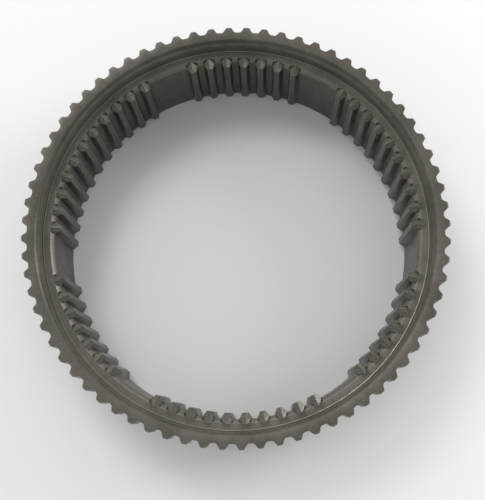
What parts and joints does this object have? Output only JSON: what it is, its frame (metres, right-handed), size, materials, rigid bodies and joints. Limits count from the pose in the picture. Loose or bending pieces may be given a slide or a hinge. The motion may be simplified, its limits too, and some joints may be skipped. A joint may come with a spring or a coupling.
{
  "type": "gearbox shift sleeve",
  "caption": "Steel ring for a gearbox, toothed outside at one end, with pointed spline teeth inside and a groove for a shift fork.",
  "frame": {"origin": "centre of the plain rear face that the sleeve lies on", "axes": "+Z along the ring's axis, from the plain rear face to the toothed front face; +X through the middle tooth of the key group about which the sleeve is alike on both sides"},
  "size_m": [0.1998, 0.1998, 0.057],
  "materials": {
    "sleeve_steel": "dark phosphated steel with a thin film of oil, satin"
  },
  "bodies": {
    "root": {"shift_sleeve": "sleeve_steel"}
  },
  "joints": []
}
